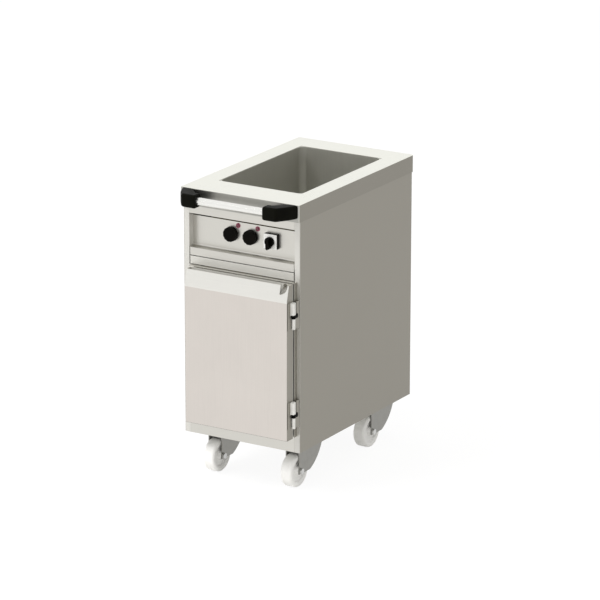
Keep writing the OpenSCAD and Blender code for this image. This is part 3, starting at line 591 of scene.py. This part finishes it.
# Distances in from the worktop's side and out from its apron, the radius of each corner, and the share of
# the soft edge by which the side after it draws in towards the top and bottom, all lengths in millimetres
BUMPER_SOFT = 8
BUMPER_PLAN = [(95, 69, 3, 1), (46, 69, 14, 1), (24, 38, 16, 1), (16, 24, 12, 1), (6, 0, 0.4, 0), (48, 0, 0.4, 1),
               (60, 13, 8, 1), (80, 32, 6, 1), (95, 32, 3, 0.5)]
# Most of a side that the rounding of one corner may take
MOST_OF_SIDE = 0.45


def rounded_plan(inset, steps=4):
    """The bumper's plan drawn in by inset, with its corners rounded."""
    marks = [Vector(mark[:2]) for mark in BUMPER_PLAN]
    count = len(marks)
    edges = []
    for i in range(count):
        along = (marks[(i + 1) % count] - marks[i]).normalized()
        inward = Vector((-along.y, along.x))
        edges.append((marks[i] + inward * inset * BUMPER_PLAN[i][3], along))
    sharp = []
    for i in range(count):
        (p, d), (q, e) = edges[i - 1], edges[i]
        reach = ((q - p).x * e.y - (q - p).y * e.x) / (d.x * e.y - d.y * e.x)
        sharp.append(p + d * reach)
    points = []
    for i, corner in enumerate(sharp):
        before, after = edges[i - 1][1], edges[i][1]
        turning = before.angle_signed(after)
        radius = BUMPER_PLAN[i][2]
        cut = min(radius * math.tan(abs(turning) / 2), MOST_OF_SIDE * (sharp[i - 1] - corner).length,
                  MOST_OF_SIDE * (sharp[(i + 1) % count] - corner).length)
        start, end = corner - before * cut, corner + after * cut
        for step in range(steps + 1):
            t = step / steps
            points.append(start * (1 - t) ** 2 + corner * 2 * t * (1 - t) + end * t ** 2)
    return points


def make_bumper(node, side):
    """Rubber corner bumper with soft edges all round."""
    low, high = corners(node)
    worktop_low, worktop_high = corners("worktop")
    levels = [(BUMPER_SOFT * (1 - math.sin(a)), low.z + BUMPER_SOFT * (1 - math.cos(a)) * MM)
              for a in [0.0] + ARC]
    levels += [(BUMPER_SOFT * (1 - math.cos(a)), high.z - BUMPER_SOFT * (1 - math.sin(a)) * MM)
               for a in [0.0] + ARC]
    loops = [[Vector((side * (worktop_high.x - point.x * MM), worktop_low.y - point.y * MM, z))
              for point in rounded_plan(inset)] for inset, z in levels]
    bm = bmesh.new()
    rings = loft(bm, loops)
    bm.faces.new(rings[0])
    bm.faces.new(rings[-1])
    smooth(add_piece(node + "_moulded", bm, node, [bumper_black]), degrees=50)


make_worktop()
make_tank()
make_panel()
make_door_skin()
make_bumper("corner_bumper_left", -1)
make_bumper("corner_bumper_right", 1)


# ---- Camera, light and floor ----

# The camera solved from the edges of the body: its place, its angles in degrees, and its focal length as a
# share of the picture's width
CAMERA_AT = (6.47825, -10.67526, 4.35610)
CAMERA_YAW = 31.1528
CAMERA_DOWN = 16.998
CAMERA_ROLL = 0.06
FOCAL_SHARE = 4027.84 / 600

camera_data = bpy.data.cameras.new("camera")
camera_data.sensor_width = 36
camera_data.lens = FOCAL_SHARE * camera_data.sensor_width
camera_data.clip_end = 100
camera = bpy.data.objects.new("camera", camera_data)
camera.location = CAMERA_AT
tilt = Matrix.Rotation(math.radians(90 - CAMERA_DOWN), 3, "X")
roll = Matrix.Rotation(math.radians(CAMERA_ROLL), 3, "Z")
turn = Matrix.Rotation(math.radians(CAMERA_YAW), 3, "Z")
camera.rotation_euler = (turn @ tilt @ roll).to_euler()
bpy.context.scene.collection.objects.link(camera)
bpy.context.scene.camera = camera

bpy.context.scene.view_settings.view_transform = "Standard"


def area_light(name, at, aim, size, watts):
    """White lamp that the metal doesn't mirror."""
    data = bpy.data.lights.new(name, "AREA")
    data.shape = "RECTANGLE"
    data.size, data.size_y = size
    data.energy = watts
    lamp = bpy.data.objects.new(name, data)
    lamp.location = at
    lamp.rotation_euler = (Vector(aim) - Vector(at)).to_track_quat("-Z", "Y").to_euler()
    lamp.visible_glossy = False
    bpy.context.scene.collection.objects.link(lamp)


area_light("key", at=(-2.4, -3.2, 4.8), aim=(0, 0, 0.6), size=(3.0, 2.4), watts=190)

# The studio's soft light and the floor, each from its left to its right; then the floor as the camera sees it
STUDIO_LEFT, STUDIO_RIGHT = (1.0, 0.99, 0.97), (0.68, 0.67, 0.65)
STUDIO_STRENGTH = 0.95
FLOOR_LEFT, FLOOR_RIGHT = (0.9, 0.89, 0.87), (0.6, 0.59, 0.56)
SEEN_FLOOR, SEEN_GLOW = (0.13, 0.13, 0.13), 0.9


def sees_background(tree):
    """1 for rays that show the background: those from the camera, off gloss and through glass."""
    path = tree.nodes.new("ShaderNodeLightPath")
    total = tree.nodes.new("ShaderNodeMath")
    total.operation = "ADD"
    link(tree, path, "Is Camera Ray", total, 0)
    link(tree, path, "Is Glossy Ray", total, 1)
    capped = tree.nodes.new("ShaderNodeMath")
    capped.operation = "ADD"
    capped.use_clamp = True
    link(tree, total, "Value", capped, 0)
    link(tree, path, "Is Transmission Ray", capped, 1)
    return capped


def fade_to_right(tree, output, light, dark, start, end):
    """Two tones across X, blended between start and end."""
    coordinates = tree.nodes.new("ShaderNodeTexCoord")
    split = tree.nodes.new("ShaderNodeSeparateXYZ")
    link(tree, coordinates, output, split, "Vector")
    ranged = spread(tree, split, "X", 0.0, 1.0, -1.0, 1.0)
    return tones(tree, ranged, "Result", light, dark, start, end)


def make_world():
    """White studio, darker towards +X for the soft light that it sheds."""
    world = bpy.data.worlds.new("studio")
    bpy.context.scene.world = world
    world.use_nodes = True
    tree = world.node_tree
    tree.nodes.clear()
    out = tree.nodes.new("ShaderNodeOutputWorld")
    seen = tree.nodes.new("ShaderNodeBackground")
    seen.inputs["Color"].default_value = (1, 1, 1, 1)
    studio = tree.nodes.new("ShaderNodeBackground")
    mix = tree.nodes.new("ShaderNodeMixShader")
    ramp = fade_to_right(tree, "Generated", STUDIO_LEFT, STUDIO_RIGHT, 0.5, 0.95)
    link(tree, ramp, "Color", studio, "Color")
    studio.inputs["Strength"].default_value = STUDIO_STRENGTH
    link(tree, sees_background(tree), "Value", mix, 0)
    tree.links.new(studio.outputs[0], mix.inputs[1])
    tree.links.new(seen.outputs[0], mix.inputs[2])
    tree.links.new(mix.outputs[0], out.inputs["Surface"])


def make_floor():
    """Pale floor that reads white and keeps the object's shadow."""
    bm = bmesh.new()
    half = 30.0
    bm.faces.new([bm.verts.new((x * half, y * half, 0)) for x, y in ((-1, -1), (1, -1), (1, 1), (-1, 1))])
    mesh = bpy.data.meshes.new("floor")
    bm.to_mesh(mesh)
    bm.free()
    floor = bpy.data.objects.new("floor", mesh)
    bpy.context.scene.collection.objects.link(floor)
    material = bpy.data.materials.new("floor")
    material.use_nodes = True
    tree = material.node_tree
    tree.nodes.clear()
    out = tree.nodes.new("ShaderNodeOutputMaterial")
    ramp = fade_to_right(tree, "Object", FLOOR_LEFT, FLOOR_RIGHT, 0.6, 1.0)
    plain = tree.nodes.new("ShaderNodeBsdfDiffuse")
    link(tree, ramp, "Color", plain, "Color")
    lit = tree.nodes.new("ShaderNodeBsdfDiffuse")
    lit.inputs["Color"].default_value = (*SEEN_FLOOR, 1)
    glow = tree.nodes.new("ShaderNodeEmission")
    glow.inputs["Strength"].default_value = SEEN_GLOW
    both = tree.nodes.new("ShaderNodeAddShader")
    mix = tree.nodes.new("ShaderNodeMixShader")
    tree.links.new(lit.outputs[0], both.inputs[0])
    tree.links.new(glow.outputs[0], both.inputs[1])
    link(tree, sees_background(tree), "Value", mix, 0)
    tree.links.new(plain.outputs[0], mix.inputs[1])
    tree.links.new(both.outputs[0], mix.inputs[2])
    tree.links.new(mix.outputs[0], out.inputs["Surface"])
    mesh.materials.append(material)


make_world()
make_floor()
